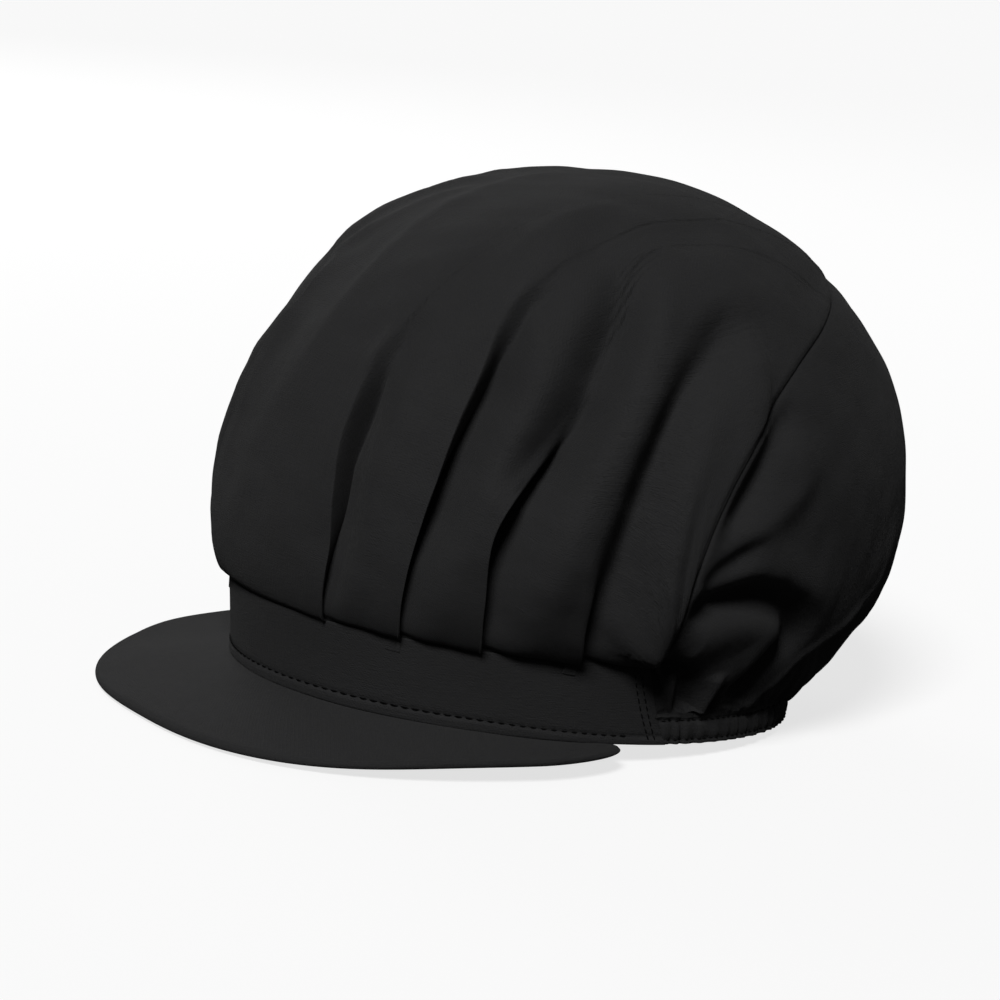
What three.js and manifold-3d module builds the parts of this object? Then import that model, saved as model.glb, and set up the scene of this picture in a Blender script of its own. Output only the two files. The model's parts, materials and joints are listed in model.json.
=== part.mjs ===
// Peaked kitchen cap: a full pleated crown on a stiff front headband, a short
// covered visor, and a back panel gathered into an elastic casing.
//
// Millimetres. The cap is modelled with the plane of the head opening level,
// front towards -Y and the wearer's left towards +X. The last section sets it
// down the way it rests on a table: on the visor's tip and the back hem, z = 0.

import * as THREE from 'three';
import { mergeVertices } from 'three/addons/utils/BufferGeometryUtils.js';
import Module from 'manifold-3d';

const wasm = await Module();
wasm.setup();

// Head opening and headband
const OPENING_HALF_LENGTH = 98;
const OPENING_HALF_WIDTH = 80;
const BAND_HEIGHT = 26;
const BAND_LEAN = 5; // the band's top edge stands this far ahead of its foot
const OUTER_CLOTH = 0.8;
const INTERLINING = 0.6;
const INTERLINING_MARGIN = 2;
const GAP = 0.3; // air between two pieces

// Back hem: a folded casing around an elastic
const CASING_HEIGHT = 10;
const CASING_DEPTH = 3.4;
const ELASTIC_WIDTH = 7;
const ELASTIC_THICKNESS = 1.2;

// Crown: Bezier profiles up its front, sides and rear from the cloth's foot to
// the apex, with the inner control points as [distance from the middle, height].
// The cloth starts higher over the band than over the casing, and both forms
// meet in one smooth surface above the band.
const CROWN_HEIGHT = 170;
const CROWN_CLOTH = 1;
const APEX_FLAT = 64; // reach of the nearly flat top around the apex
const APEX_SETBACK = 20; // the apex is this far behind the opening's middle
const FRONT_SWELL = [[123, 53], [107, 145]];
const FORM_OVER_BAND = {
  foot: BAND_HEIGHT + GAP,
  side: [[110, 35], [104, 152]],
  rear: [[153, 32], [137, 118]],
};
const FORM_OVER_CASING = {
  foot: CASING_HEIGHT + GAP,
  side: [[120, 77], [85, 152]],
  rear: [[159, 47], [127, 120]],
};

// Crown seam, between the front and the back panel: a Bezier in the side view
// [distance behind the opening's middle, height], the same on both sides.
const SEAM_PATH = [[11, -8], [-36, 62], [4, 131], [100, 158]];
const SEAM_GAP = 0.4;
const TAPE_WIDTH = 10;
const TAPE_INSET = 2.8;
const TAPE_THICKNESS = 0.8;

// Visor
const VISOR_REACH = 41; // from the band's front to the visor's tip
const VISOR_HALF_WIDTH = 95;
const VISOR_WIDEST = 12; // the widest place is this far ahead of the middle
const VISOR_ROUNDNESS = 2.5; // exponent of the visor's superellipse edge
const VISOR_TIP_DROOP = 11.5;
const VISOR_CHEEK_DROOP = 2;
const VISOR_ARC = THREE.MathUtils.degToRad(82); // half the band's arc it is sewn to
const VISOR_END_ARC = THREE.MathUtils.degToRad(12); // its rounded corners
const VISOR_CORNER = 5; // width left at the very end
const VISOR_INNER_GAP = 1.5;
const VISOR_LAYERS = { cover: 0.6, board: 0.9, under: 0.5 };
const VISOR_ROLL = 0.8; // width of the edge where the top cover turns down

// Sewing thread
const THREAD_RADIUS = 0.3;
const THREAD_CLEARANCE = 0.35;
const BAND_STITCH_HEIGHT = 3.8;
const CASING_STITCH_HEIGHTS = { upper: 8.6, lower: 1.6 };
const SIDE_STITCH_SPACING = 2.4;
const SIDE_STITCH_AHEAD = 0.11; // angle from the side seam to the stitch rows

// Fineness of the faceted solids
const ARC_STEPS = 44;
const CROWN_RINGS = 13;
const CROWN_SPOKES = 48;
const SEAM_STEPS = 16;
const CORD_SIDES = 4;
const VISOR_ACROSS = [0, 0.35, 0.7, 1]; // shares of the visor's width
const VISOR_STEPS = 32;

const QUARTER_TURN = Math.PI / 2;
const SIDE_LAP = 0.2; // bands run this much past the side seam before trimming

// ---- meshes and solids ----

function signedVolume(points, triangles) {
  const cross = new THREE.Vector3();
  return triangles.reduce((sum, [a, b, c]) => {
    cross.crossVectors(points[b], points[c]);
    return sum + points[a].dot(cross) / 6;
  }, 0);
}

function closedGeometry(points, triangles) {
  const outward = signedVolume(points, triangles) > 0;
  const index = triangles.flatMap(([a, b, c]) => (outward ? [a, b, c] : [a, c, b]));
  const geometry = new THREE.BufferGeometry();
  geometry.setAttribute(
    'position',
    new THREE.Float32BufferAttribute(points.flatMap((p) => p.toArray()), 3),
  );
  geometry.setIndex(index);
  return geometry;
}

function loopNormal(loop) {
  const normal = new THREE.Vector3();
  const cross = new THREE.Vector3();
  loop.forEach((point, i) => {
    normal.add(cross.crossVectors(point, loop[(i + 1) % loop.length]));
  });
  return normal.normalize();
}

// Triangles that fill a flat loop, all turning the same way as the loop.
function fillLoop(loop) {
  const normal = loopNormal(loop);
  const u = loop[1].clone().sub(loop[0]).normalize();
  const v = new THREE.Vector3().crossVectors(normal, u);
  const flat = loop.map((p) => new THREE.Vector2(p.dot(u), p.dot(v)));
  return THREE.ShapeUtils.triangulateShape(flat, []).map(([a, b, c]) => {
    const turn = flat[b].clone().sub(flat[a]).cross(flat[c].clone().sub(flat[a]));
    return turn > 0 ? [a, b, c] : [a, c, b];
  });
}

// A closed body through a row of loops that all have the same point count.
function sweep(sections) {
  const size = sections[0].length;
  const last = (sections.length - 1) * size;
  const triangles = [];
  for (let start = 0; start < last; start += size) {
    for (let i = 0; i < size; i += 1) {
      const a = start + i;
      const b = start + ((i + 1) % size);
      triangles.push([a, b, b + size], [a, b + size, a + size]);
    }
  }
  fillLoop(sections[0]).forEach(([a, b, c]) => triangles.push([c, b, a]));
  fillLoop(sections.at(-1)).forEach(([a, b, c]) => {
    triangles.push([a + last, b + last, c + last]);
  });
  return closedGeometry(sections.flat(), triangles);
}

// A round cord of thread along a smooth path.
function cord(points, steps) {
  const path = new THREE.CatmullRomCurve3(points);
  const frames = path.computeFrenetFrames(steps, false);
  const sections = frames.normals.map((normal, i) => {
    const centre = path.getPointAt(i / steps);
    return Array.from({ length: CORD_SIDES }, (_, side) => {
      const angle = (side / CORD_SIDES) * 2 * Math.PI;
      return centre.clone()
        .addScaledVector(normal, THREAD_RADIUS * Math.cos(angle))
        .addScaledVector(frames.binormals[i], THREAD_RADIUS * Math.sin(angle));
    });
  });
  return sweep(sections);
}

function toSolid(geometry) {
  const bare = geometry.clone();
  bare.deleteAttribute('normal');
  bare.deleteAttribute('uv');
  const merged = mergeVertices(bare);
  return new wasm.Manifold(new wasm.Mesh({
    numProp: 3,
    vertProperties: new Float32Array(merged.attributes.position.array),
    triVerts: new Uint32Array(merged.index.array),
  }));
}

function toGeometry(solid) {
  const mesh = solid.getMesh();
  const geometry = new THREE.BufferGeometry();
  geometry.setAttribute('position', new THREE.BufferAttribute(mesh.vertProperties, 3));
  geometry.setIndex(new THREE.BufferAttribute(mesh.triVerts, 1));
  return geometry;
}

// ---- curves of the cap ----

// Point of a plane Bezier of any degree, by de Casteljau's construction.
function bezier(control, s) {
  let row = control;
  while (row.length > 1) {
    row = row.slice(1).map((end, i) => row[i].map((start, k) => start + (end[k] - start) * s));
  }
  return row[0];
}

// The opening's ellipse: angle 0 is the front, a quarter turn the wearer's left.
function openingPoint(angle, inset, height) {
  const lean = BAND_LEAN * (height / BAND_HEIGHT);
  return new THREE.Vector3(
    (OPENING_HALF_WIDTH - inset) * Math.sin(angle),
    -(OPENING_HALF_LENGTH - inset) * Math.cos(angle) - lean,
    height,
  );
}

function evenAngles(from, to, steps) {
  return Array.from({ length: steps + 1 }, (_, i) => from + ((to - from) * i) / steps);
}

// A strip that follows the opening: outline lists [inset, height] pairs.
function openingStrip(outline, from, to, steps) {
  return sweep(evenAngles(from, to, steps).map(
    (angle) => outline.map(([inset, height]) => openingPoint(angle, inset, height)),
  ));
}

function rectangle(inset, thickness, bottom, top) {
  return [[inset, bottom], [inset, top], [inset + thickness, top], [inset + thickness, bottom]];
}

// ---- crown ----

function crownPoint(form, angle, rise) {
  const top = [[APEX_FLAT, CROWN_HEIGHT], [0, CROWN_HEIGHT]];
  const endSwell = Math.cos(angle) > 0 ? FRONT_SWELL : form.rear;
  const end = bezier([[OPENING_HALF_LENGTH, form.foot], ...endSwell, ...top], rise);
  const side = bezier([[OPENING_HALF_WIDTH, form.foot], ...form.side, ...top], rise);
  const endShare = Math.cos(angle) ** 2;
  const lean = BAND_LEAN * (form.foot / BAND_HEIGHT) * (1 - rise);
  return new THREE.Vector3(
    side[0] * Math.sin(angle),
    -end[0] * Math.cos(angle) - lean + APEX_SETBACK * rise,
    end[1] * endShare + side[1] * (1 - endShare),
  );
}

function crownNormal(form, angle, rise) {
  const step = 1e-3;
  const across = crownPoint(form, angle + step, rise).sub(crownPoint(form, angle - step, rise));
  const up = crownPoint(form, angle, rise + step).sub(crownPoint(form, angle, rise - step));
  return across.cross(up).normalize();
}

// The solid under the crown's surface moved inwards, with a straight foot below.
function crownCore(form, inset, footDepth) {
  const rings = [];
  for (let ring = 0; ring < CROWN_RINGS; ring += 1) {
    const rise = ring / CROWN_RINGS;
    rings.push(Array.from({ length: CROWN_SPOKES }, (_, spoke) => {
      const angle = (spoke / CROWN_SPOKES) * 2 * Math.PI;
      const normal = crownNormal(form, angle, rise);
      return crownPoint(form, angle, rise).addScaledVector(normal, -inset);
    }));
  }
  const down = new THREE.Vector3(0, 0, -footDepth);
  const foot = rings[0].map((point) => point.clone().add(down));
  const loops = footDepth > 0 ? [foot, ...rings] : rings;
  const apex = new THREE.Vector3(0, APEX_SETBACK, CROWN_HEIGHT - inset);
  const base = new THREE.Vector3(0, 0, loops[0][0].z);
  const points = [...loops.flat(), apex, base];
  const triangles = [];
  for (let spoke = 0; spoke < CROWN_SPOKES; spoke += 1) {
    const next = (spoke + 1) % CROWN_SPOKES;
    for (let ring = 0; ring + 1 < loops.length; ring += 1) {
      const a = ring * CROWN_SPOKES + spoke;
      const b = ring * CROWN_SPOKES + next;
      triangles.push([a, b, b + CROWN_SPOKES], [a, b + CROWN_SPOKES, a + CROWN_SPOKES]);
    }
    const lastRing = (loops.length - 1) * CROWN_SPOKES;
    triangles.push([lastRing + spoke, lastRing + next, points.length - 2]);
    triangles.push([next, spoke, points.length - 1]);
  }
  return toSolid(closedGeometry(points, triangles));
}

function crownShell(form, outerInset, thickness) {
  const footDepth = 20;
  const outer = crownCore(form, outerInset, outerInset > 0 ? footDepth : 0);
  return outer.subtract(crownCore(form, outerInset + thickness, 2 * footDepth));
}

// Everything behind the crown seam, with the seam moved forwards by a distance.
function behindSeam(forwards) {
  const halfWidth = 150;
  const far = 250;
  const step = 1e-3;
  const seam = Array.from({ length: SEAM_STEPS + 1 }, (_, i) => {
    const s = i / SEAM_STEPS;
    const [y, z] = bezier(SEAM_PATH, s);
    const [yNext, zNext] = bezier(SEAM_PATH, s + step);
    const length = Math.hypot(yNext - y, zNext - z);
    return [y - (forwards * (zNext - z)) / length, z + (forwards * (yNext - y)) / length];
  });
  const [, topHeight] = seam.at(-1);
  const outline = [[far, -far], [seam[0][0], -far], ...seam, [far, topHeight + forwards]];
  return toSolid(sweep([-halfWidth, halfWidth].map(
    (x) => outline.map(([y, z]) => new THREE.Vector3(x, y, z)),
  )));
}

const aheadOfSideSeam = behindSeam(SEAM_GAP / 2);
const behindSideSeam = behindSeam(-SEAM_GAP / 2);

function crownFrontPanel() {
  const shell = crownShell(FORM_OVER_BAND, 0, CROWN_CLOTH);
  return toGeometry(shell.subtract(aheadOfSideSeam));
}

function crownBackPanel() {
  const shell = crownShell(FORM_OVER_CASING, 0, CROWN_CLOTH);
  return toGeometry(shell.intersect(behindSideSeam));
}

// A strip inside the crown that runs along the crown seam, centred on it.
function seamStrip(inset, thickness, width) {
  const shell = crownShell(FORM_OVER_BAND, inset, thickness);
  const slab = behindSeam(width / 2).subtract(behindSeam(-width / 2));
  const aboveBand = openBox(BAND_HEIGHT + 2 * GAP + THREAD_RADIUS);
  return toGeometry(shell.intersect(slab).intersect(aboveBand));
}

// A block that reaches from a height up past the crown's top.
function openBox(bottom) {
  const size = 400;
  const box = new THREE.BoxGeometry(size, size, size);
  box.translate(0, 0, bottom + size / 2);
  return toSolid(box);
}

function crownSeamTape() {
  return seamStrip(TAPE_INSET, TAPE_THICKNESS, TAPE_WIDTH);
}

function crownSeamThread() {
  const inset = TAPE_INSET + TAPE_THICKNESS + GAP;
  return seamStrip(inset, 2 * THREAD_RADIUS, 2 * THREAD_RADIUS);
}

// ---- headband ----

function bandLayer(inset, thickness, margin) {
  const outline = rectangle(inset, thickness, margin, BAND_HEIGHT - margin);
  const reach = QUARTER_TURN + SIDE_LAP;
  const strip = toSolid(openingStrip(outline, -reach, reach, ARC_STEPS));
  return toGeometry(strip.subtract(aheadOfSideSeam));
}

const INTERLINING_INSET = OUTER_CLOTH + GAP;
const LINING_INSET = INTERLINING_INSET + INTERLINING + GAP;

// ---- back hem ----

// The casing's cloth, folded up around the elastic from below.
function casingOutline() {
  const inner = CASING_DEPTH - OUTER_CLOTH;
  return [
    [0, 0],
    [0, CASING_HEIGHT],
    [OUTER_CLOTH, CASING_HEIGHT],
    [OUTER_CLOTH, OUTER_CLOTH],
    [inner, OUTER_CLOTH],
    [inner, CASING_HEIGHT],
    [CASING_DEPTH, CASING_HEIGHT],
    [CASING_DEPTH, 0],
  ];
}

function backStrip(outline) {
  const from = QUARTER_TURN - SIDE_LAP;
  const strip = toSolid(openingStrip(outline, from, 2 * Math.PI - from, ARC_STEPS));
  return toGeometry(strip.intersect(behindSideSeam));
}

function elasticOutline() {
  const bottom = OUTER_CLOTH + (CASING_HEIGHT - OUTER_CLOTH - ELASTIC_WIDTH) / 2;
  const inset = (CASING_DEPTH - ELASTIC_THICKNESS) / 2;
  return rectangle(inset, ELASTIC_THICKNESS, bottom, bottom + ELASTIC_WIDTH);
}

// ---- visor ----

// The visor's free edge; angle as on the opening.
function visorEdge(angle) {
  const edgeAngle = (angle / VISOR_ARC) * QUARTER_TURN;
  const power = 2 / VISOR_ROUNDNESS;
  const across = Math.sign(edgeAngle) * Math.abs(Math.sin(edgeAngle)) ** power;
  const along = Math.abs(Math.cos(edgeAngle)) ** power;
  const cheek = 4 * Math.sin(edgeAngle) ** 2 * Math.cos(edgeAngle) ** 2;
  const droop = VISOR_TIP_DROOP * Math.cos(edgeAngle) ** 2 + VISOR_CHEEK_DROOP * cheek;
  const depth = OPENING_HALF_LENGTH + VISOR_REACH - VISOR_WIDEST;
  return new THREE.Vector3(VISOR_HALF_WIDTH * across, -VISOR_WIDEST - depth * along, -droop);
}

// Share of its full width that the visor has: it narrows in a rounded corner.
function visorCornerShare(angle) {
  const into = (Math.abs(angle) - (VISOR_ARC - VISOR_END_ARC)) / VISOR_END_ARC;
  return into > 0 ? Math.sqrt(Math.max(0, 1 - into * into)) : 1;
}

// A point across the visor, t = 0 at the band and 1 at the edge, below its top.
function visorPoint(angle, t, below) {
  const inner = openingPoint(angle, -VISOR_INNER_GAP, 0);
  const reach = visorEdge(angle).sub(inner);
  const width = Math.hypot(reach.x, reach.y);
  const share = Math.max(visorCornerShare(angle), VISOR_CORNER / width);
  const bow = 0.7 * t + 0.3 * t * t;
  return new THREE.Vector3(
    inner.x + reach.x * share * t,
    inner.y + reach.y * share * t,
    reach.z * share * bow - below,
  );
}

function visorWidthAt(angle) {
  const inner = visorPoint(angle, 0, 0);
  const outer = visorPoint(angle, 1, 0);
  return Math.hypot(outer.x - inner.x, outer.y - inner.y);
}

const VISOR_STACK = VISOR_LAYERS.cover + VISOR_LAYERS.board + VISOR_LAYERS.under + 2 * GAP;
function visorAngles() {
  // Closer together towards the ends, where the corners turn.
  return evenAngles(-1, 1, VISOR_STEPS).map((s) => VISOR_ARC * Math.sin(s * QUARTER_TURN));
}

// A flat layer between two depths, stopping short of the visor's edge.
function visorLayer(above, thickness, edgeInset) {
  return sweep(visorAngles().map((angle) => {
    const end = 1 - edgeInset / visorWidthAt(angle);
    const upper = VISOR_ACROSS.map((t) => visorPoint(angle, t * end, above));
    const lower = VISOR_ACROSS.map((t) => visorPoint(angle, t * end, above + thickness));
    return [...upper, ...lower.reverse()];
  }));
}

// The top cover turns down over the board's edge.
function visorTopCover() {
  return sweep(visorAngles().map((angle) => {
    const end = 1 - VISOR_ROLL / visorWidthAt(angle);
    const upper = VISOR_ACROSS.map((t) => visorPoint(angle, t, 0));
    const roll = [visorPoint(angle, 1, VISOR_STACK), visorPoint(angle, end, VISOR_STACK)];
    const lower = VISOR_ACROSS.map((t) => visorPoint(angle, t * end, VISOR_LAYERS.cover));
    return [...upper, ...roll, ...lower.reverse()];
  }));
}

function visorBoard() {
  return visorLayer(VISOR_LAYERS.cover + GAP, VISOR_LAYERS.board, VISOR_ROLL + GAP);
}

function visorUnderCover() {
  const above = VISOR_LAYERS.cover + VISOR_LAYERS.board + 2 * GAP;
  return visorLayer(above, VISOR_LAYERS.under, VISOR_ROLL + GAP);
}

// ---- sewing thread ----

const THREAD_INSET = -(THREAD_CLEARANCE + THREAD_RADIUS);

function threadAlongOpening(height, from, to) {
  const points = evenAngles(from, to, ARC_STEPS / 2)
    .map((angle) => openingPoint(angle, THREAD_INSET, height));
  return cord(points, ARC_STEPS);
}

function bandTopstitch() {
  const reach = QUARTER_TURN - 1.4 * SIDE_STITCH_AHEAD;
  return threadAlongOpening(BAND_STITCH_HEIGHT, -reach, reach);
}

function casingStitch(height) {
  const from = QUARTER_TURN + SIDE_STITCH_AHEAD / 2;
  return threadAlongOpening(height, from, 2 * Math.PI - from);
}

// Two upright rows beside the side seam, sewn in one run: up, across and down.
function sideSeamThread(side) {
  const halfSpacing = SIDE_STITCH_SPACING / 2 / OPENING_HALF_LENGTH;
  const middle = QUARTER_TURN - SIDE_STITCH_AHEAD;
  const low = 1.5;
  const high = BAND_HEIGHT - 1.5;
  const levels = [0, 0.3, 0.6, 0.9];
  const row = (angle) => levels.map(
    (level) => openingPoint(side * angle, THREAD_INSET, low + (high - low) * level),
  );
  const turn = openingPoint(side * middle, THREAD_INSET, high);
  const points = [...row(middle - halfSpacing), turn, ...row(middle + halfSpacing).reverse()];
  return cord(points, ARC_STEPS / 2);
}

// ---- the cap ----

const BLACK_COTTON = { color: 0x151515, roughness: 0.85, metalness: 0 };
const BLACK_COTTON_LINING = { color: 0x1a1a1a, roughness: 0.9, metalness: 0 };
const BLACK_THREAD = { color: 0x0d0d0d, roughness: 0.7, metalness: 0 };
const BLACK_TAPE = { color: 0x171717, roughness: 0.88, metalness: 0 };
const NONWOVEN = { color: 0x2a2a2a, roughness: 0.95, metalness: 0 };
const STIFF_BOARD = { color: 0x8f8a80, roughness: 0.8, metalness: 0 };
const KNITTED_ELASTIC = { color: 0x202020, roughness: 0.75, metalness: 0 };

const pieces = {
  crown_front_panel: [crownFrontPanel(), BLACK_COTTON],
  crown_back_panel: [crownBackPanel(), BLACK_COTTON],
  crown_seam_tape: [crownSeamTape(), BLACK_TAPE],
  crown_seam_thread: [crownSeamThread(), BLACK_THREAD],
  headband_outer: [bandLayer(0, OUTER_CLOTH, 0), BLACK_COTTON],
  headband_interlining: [bandLayer(INTERLINING_INSET, INTERLINING, INTERLINING_MARGIN), NONWOVEN],
  headband_lining: [bandLayer(LINING_INSET, OUTER_CLOTH, 0), BLACK_COTTON_LINING],
  headband_topstitch_thread: [bandTopstitch(), BLACK_THREAD],
  side_seam_thread_left: [sideSeamThread(1), BLACK_THREAD],
  side_seam_thread_right: [sideSeamThread(-1), BLACK_THREAD],
  visor_top_cover: [visorTopCover(), BLACK_COTTON],
  visor_board: [visorBoard(), STIFF_BOARD],
  visor_under_cover: [visorUnderCover(), BLACK_COTTON_LINING],
  back_casing: [backStrip(casingOutline()), BLACK_COTTON],
  back_elastic: [backStrip(elasticOutline()), KNITTED_ELASTIC],
  casing_upper_thread: [casingStitch(CASING_STITCH_HEIGHTS.upper), BLACK_THREAD],
  casing_lower_thread: [casingStitch(CASING_STITCH_HEIGHTS.lower), BLACK_THREAD],
};

const cap = new THREE.Group();
Object.entries(pieces).forEach(([name, [geometry, finish]]) => {
  const mesh = new THREE.Mesh(geometry, new THREE.MeshStandardMaterial(finish));
  mesh.name = name;
  cap.add(mesh);
});

// Tip the cap back until the visor's tip and the back hem are level.
const tipReach = OPENING_HALF_LENGTH + VISOR_REACH;
const tipDrop = VISOR_TIP_DROOP + VISOR_STACK;
cap.rotation.x = -Math.atan2(tipDrop, tipReach + OPENING_HALF_LENGTH);

// Stand it on z = 0 with the origin under the middle of the whole cap.
cap.updateMatrixWorld(true);
const bounds = new THREE.Box3().setFromObject(cap, true);
const centre = bounds.getCenter(new THREE.Vector3());
cap.position.set(-centre.x, -centre.y, -bounds.min.z);

const restingCap = new THREE.Group();
restingCap.add(cap);

export default restingCap;
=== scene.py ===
"""Black peaked kitchen cap: the cloth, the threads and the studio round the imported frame."""
import json
import math

import bpy
import numpy as np
from mathutils import Matrix, Vector


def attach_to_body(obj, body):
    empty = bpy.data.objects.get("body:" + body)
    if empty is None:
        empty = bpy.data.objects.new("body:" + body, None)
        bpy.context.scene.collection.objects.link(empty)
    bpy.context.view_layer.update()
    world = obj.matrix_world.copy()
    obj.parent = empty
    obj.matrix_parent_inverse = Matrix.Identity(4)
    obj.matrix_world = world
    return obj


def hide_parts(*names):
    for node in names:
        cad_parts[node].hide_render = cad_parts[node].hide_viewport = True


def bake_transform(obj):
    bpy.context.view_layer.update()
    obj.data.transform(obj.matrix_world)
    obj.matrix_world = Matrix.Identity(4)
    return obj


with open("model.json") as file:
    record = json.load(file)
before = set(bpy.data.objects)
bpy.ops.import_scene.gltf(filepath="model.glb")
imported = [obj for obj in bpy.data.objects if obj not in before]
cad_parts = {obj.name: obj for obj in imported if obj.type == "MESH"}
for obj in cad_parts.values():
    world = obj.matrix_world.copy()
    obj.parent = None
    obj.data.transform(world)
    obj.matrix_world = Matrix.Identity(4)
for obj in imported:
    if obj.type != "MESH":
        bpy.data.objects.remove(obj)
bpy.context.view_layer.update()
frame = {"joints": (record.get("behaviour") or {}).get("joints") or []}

# ---- dimensions of the level cap, in millimetres; angles in radians ----

HALF_LENGTH = 98.0
HALF_WIDTH = 80.0
BAND_HEIGHT = 26.0
BAND_LEAN = 5.0
CROWN_FOOT = BAND_HEIGHT + 0.3
CASING_HEIGHT = 10.0
CROWN_HEIGHT = 170.0
APEX_FLAT = 64.0
APEX_SETBACK = 20.0
FRONT_SWELL = [(123, 53), (107, 145)]
FORM_OVER_BAND = {
    "foot": CROWN_FOOT, "side": [(110, 35), (104, 152)], "rear": [(153, 32), (137, 118)]
}
FORM_OVER_CASING = {
    "foot": 10.3, "side": [(120, 77), (85, 152)], "rear": [(159, 47), (127, 120)]
}
SEAM_PATH = [(11, -8), (-36, 62), (4, 131), (100, 158)]
VISOR_REACH = 41.0
VISOR_HALF_WIDTH = 95.0
VISOR_WIDEST = 12.0
VISOR_ROUNDNESS = 2.5
VISOR_TIP_DROOP = 11.5
VISOR_CHEEK_DROOP = 2.0
VISOR_ARC = math.radians(82)
VISOR_END_ARC = math.radians(12)
VISOR_CORNER = 0.8
VISOR_GAP = 1.5
VISOR_TUCK = 7.0
VISOR_STACK = 2.4
VISOR_END_DEPTH = 0.2
VISOR_COLUMNS = 300
VISOR_ROWS = 40
CLOTH = 0.45
STITCH_HEIGHT = 3.9
SIDE_STITCH_AHEAD = 0.075
SIDE_TUCK = 0.022  # how far the back panel runs on behind the band, as an angle
SIDE_INSET = 0.95
SEAM_GROOVE = 1.1
SEAM_GROOVE_REACH = 1.3
# pitch, length and radius of the stitches in each row of sewing
BAND_STITCH = (3.4, 2.6, 0.24)
SIDE_STITCH = (2.7, 2.1, 0.22)
CASING_STITCH = (2.9, 2.2, 0.22)
SEAM_STITCH = (3.0, 2.3, 0.24)
STITCH_SIDES = 6
HINGE_IN_CAP = np.array([0.0, -98.0, -1.3])
TILT = math.atan2(14.1, 237.0)


def joint_named(name):
    return next(joint for joint in frame["joints"] if joint["name"] == name)


HINGE_IN_WORLD = 1000 * np.array(joint_named("visor_flex")["pos_m"])


def turn_to_world(vectors):
    """From the level cap's directions to the resting cap's."""
    v = np.asarray(vectors, float)
    y = v[..., 1] * math.cos(TILT) + v[..., 2] * math.sin(TILT)
    z = v[..., 2] * math.cos(TILT) - v[..., 1] * math.sin(TILT)
    return np.stack([v[..., 0], y, z], -1)


def to_world(points):
    """From the level cap's millimetres to the frame's metres."""
    return (turn_to_world(np.asarray(points, float) - HINGE_IN_CAP) + HINGE_IN_WORLD) / 1000


# ---- small tools for arrays ----

def smooth(x):
    x = np.clip(x, 0, 1)
    return x * x * (3 - 2 * x)


def fade(distance, reach, power=2):
    """1 at a distance of 0, falling off over the reach."""
    return np.exp(-((distance / reach) ** power))


def unit(vectors):
    length = np.linalg.norm(vectors, axis=-1, keepdims=True)
    return vectors / np.maximum(length, 1e-12)


def bezier(control, s):
    s = np.asarray(s, float)[..., None]
    row = [np.asarray(point, float) for point in control]
    while len(row) > 1:
        row = [a + (b - a) * s for a, b in zip(row, row[1:])]
    return row[0]


def hermite(knots, values, at):
    """Smooth interpolation through values, an array with one entry per knot along axis 0."""
    knots = np.asarray(knots, float)
    values = np.asarray(values, float)
    slopes = np.gradient(values, knots, axis=0)
    i = np.clip(np.searchsorted(knots, at, side="right") - 1, 0, len(knots) - 2)
    shape = (-1,) + (1,) * (values.ndim - 1)
    span = (knots[i + 1] - knots[i]).reshape(shape)
    s = (np.asarray(at) - knots[i]).reshape(shape) / span
    return (
        (2 * s**3 - 3 * s**2 + 1) * values[i]
        + (s**3 - 2 * s**2 + s) * span * slopes[i]
        + (3 * s**2 - 2 * s**3) * values[i + 1]
        + (s**3 - s**2) * span * slopes[i + 1]
    )


def run_length(points, axis=0):
    """Distance covered along one axis of a grid of points, from 0."""
    steps = np.linalg.norm(np.diff(points, axis=axis), axis=-1)
    zero = np.zeros_like(np.take(steps, [0], axis=axis))
    return np.concatenate([zero, np.cumsum(steps, axis=axis)], axis=axis)


def through(points, count):
    points = np.asarray(points, float)
    knots = run_length(points)
    return hermite(knots, points, np.linspace(0, knots[-1], count))


def resample(points, fractions):
    """Points at shares of a polyline's length."""
    length = run_length(points)
    at = np.asarray(fractions) * length[-1]
    return np.stack([np.interp(at, length, points[:, k]) for k in range(points.shape[1])], -1)


def keyed(keys, column, at):
    """A value that eases from key to key; each key starts with its height."""
    heights = [key[0] for key in keys]
    values = np.array([key[column] for key in keys], float)
    place = np.interp(at, heights, range(len(heights)))
    i = np.minimum(place.astype(int), len(heights) - 2)
    return values[i] + (values[i + 1] - values[i]) * smooth(place - i)


def ripple(points, wavelength, seed):
    """A smooth random field of about unit height, the same on every run."""
    random = np.random.default_rng(seed)
    waves = random.normal(size=(14, 3))
    waves = unit(waves) * (2 * math.pi / wavelength) * random.uniform(0.6, 1.5, (14, 1))
    phases = random.uniform(0, 2 * math.pi, 14)
    return np.sin(points @ waves.T + phases).sum(-1) / math.sqrt(7)


# ---- the crown's form: a disc whose rim is the crown's foot and whose middle is the apex ----

def disc(angle, rise):
    """Disc coordinates of a place on the crown; angle in degrees from the front, rise 0 to 1."""
    angle = np.radians(angle)
    reach = 1 - np.asarray(rise, float)
    return np.stack([reach * np.sin(angle), -reach * np.cos(angle)], -1)


def crown_point(form, place):
    p, q = place[..., 0], place[..., 1]
    reach = np.hypot(p, q)
    rise = 1 - reach
    safe = np.maximum(reach, 1e-9)
    sin, cos = p / safe, -q / safe
    foot = form["foot"]
    top = [(APEX_FLAT, CROWN_HEIGHT), (0, CROWN_HEIGHT)]
    front = bezier([(HALF_LENGTH, foot), *FRONT_SWELL, *top], rise)
    rear = bezier([(HALF_LENGTH, foot), *form["rear"], *top], rise)
    side = bezier([(HALF_WIDTH, foot), *form["side"], *top], rise)
    end = np.where((cos > 0)[..., None], front, rear)
    end_share = cos**2
    lean = BAND_LEAN * (foot / BAND_HEIGHT) * (1 - rise)
    return np.stack([
        side[..., 0] * sin,
        -end[..., 0] * cos - lean + APEX_SETBACK * rise,
        end[..., 1] * end_share + side[..., 1] * (1 - end_share),
    ], -1)


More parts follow.
